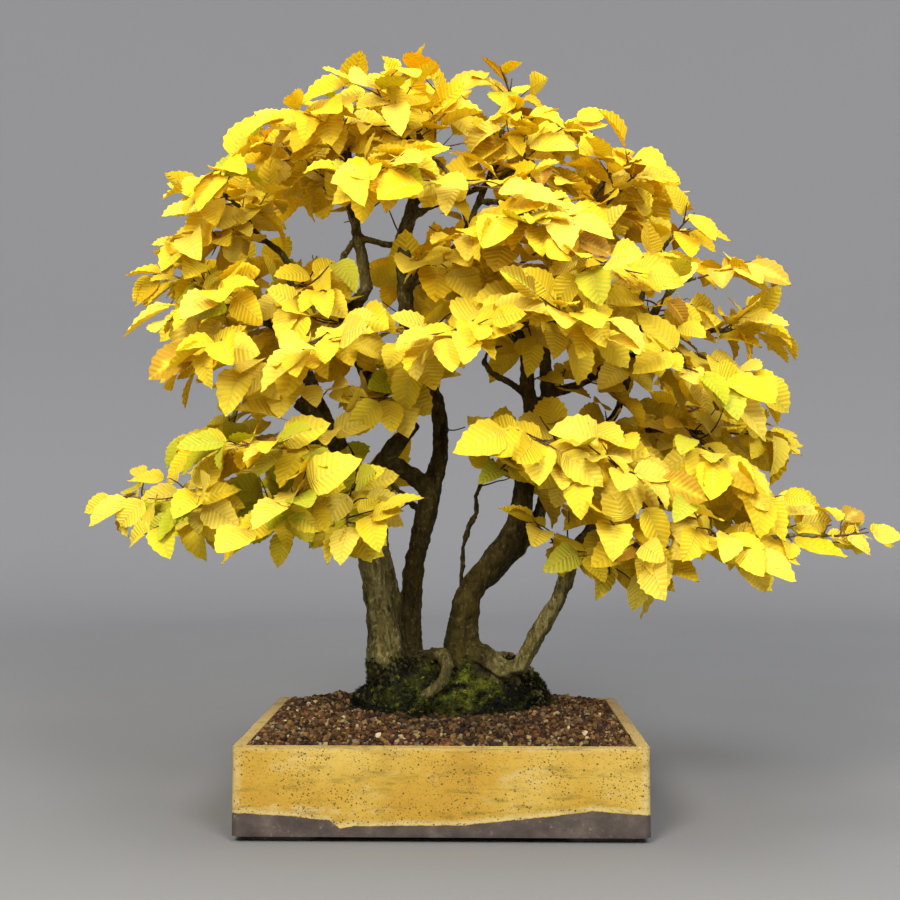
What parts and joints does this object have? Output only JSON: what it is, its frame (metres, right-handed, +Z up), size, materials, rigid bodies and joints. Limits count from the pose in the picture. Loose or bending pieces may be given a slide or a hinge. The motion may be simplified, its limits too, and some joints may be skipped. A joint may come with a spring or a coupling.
{
  "type": "hornbeam bonsai",
  "caption": "Multi-trunk hornbeam bonsai in yellow autumn leaf, grown from one mossy root mass in a shallow rectangular glazed pot filled with grit.",
  "frame": {"origin": "on the surface that the pot stands on, under the middle of the whole object's box; the pot's own middle lies at x = -0.0489, y = -0.0099", "axes": "+Z up; the side seen in the picture faces -Y; +X runs along the pot's long side, towards the long low branch"},
  "size_m": [0.8742, 0.5476, 0.8295],
  "materials": {
    "pot_glaze": "satin ochre yellow glaze with brown specks over dark bare clay at the foot",
    "screen_mesh": "matt black moulded mesh",
    "soil_grit": "matt baked clay, lava and pumice grains of 3 to 6 mm",
    "moss": null,
    "bark": "matt olive brown bark with pale lichen",
    "leaf": "matt to satin autumn leaf, bright yellow, on thin brown twigs"
  },
  "bodies": {
    "root": {"pot": "pot_glaze", "drainage_screen_left": "screen_mesh", "drainage_screen_right": "screen_mesh", "soil": "soil_grit", "moss": "moss", "tree": "bark", "shoot_leftBack": "leaf", "shoot_middle": "leaf", "shoot_rightFork": "leaf", "shoot_kneeling": "leaf", "shoot_thinShoot": "leaf", "shoot_lowLeft": "leaf", "shoot_lowLeftRise": "leaf", "shoot_lowLeftFront": "leaf", "shoot_lowLeftInner": "leaf", "shoot_lowLeftBack": "leaf", "shoot_longLeft": "leaf", "shoot_longLeftLow": "leaf", "shoot_longLeftFront": "leaf", "shoot_longLeftBack": "leaf", "shoot_midLeft": "leaf", "shoot_midLeftLow": "leaf", "shoot_topLeft": "leaf", "shoot_topLeftFront": "leaf", "shoot_topLeftBack": "leaf", "shoot_innerFront": "leaf", "shoot_highFront": "leaf", "shoot_middleRight": "leaf", "shoot_middleTopBack": "leaf", "shoot_middleHighFront": "leaf", "shoot_middleFront": "leaf", "shoot_middleBack": "leaf", "shoot_middleLowBack": "leaf", "shoot_rightUp": "leaf", "shoot_rightUpFront": "leaf", "shoot_rightHighFront": "leaf", "shoot_rightMain": "leaf", "shoot_rightMainFront": "leaf", "shoot_rightMainBack": "leaf", "shoot_rightMainBackHigh": "leaf", "shoot_sweep": "leaf", "shoot_farRight": "leaf", "shoot_farRightOut": "leaf", "shoot_rightPadFront": "leaf", "shoot_rightPadFrontOut": "leaf", "shoot_rightPadOut": "leaf", "shoot_rightPadBack": "leaf", "shoot_lowRight": "leaf", "shoot_lowRightFront": "leaf", "shoot_lowRightInner": "leaf", "shoot_lowRightBack": "leaf", "shoot_middleTopFront": "leaf", "shoot_middleMidFront": "leaf", "shoot_longLeftTopFront": "leaf", "shoot_leftTrunkFront": "leaf", "shoot_farRightLow": "leaf"}
  },
  "joints": []
}
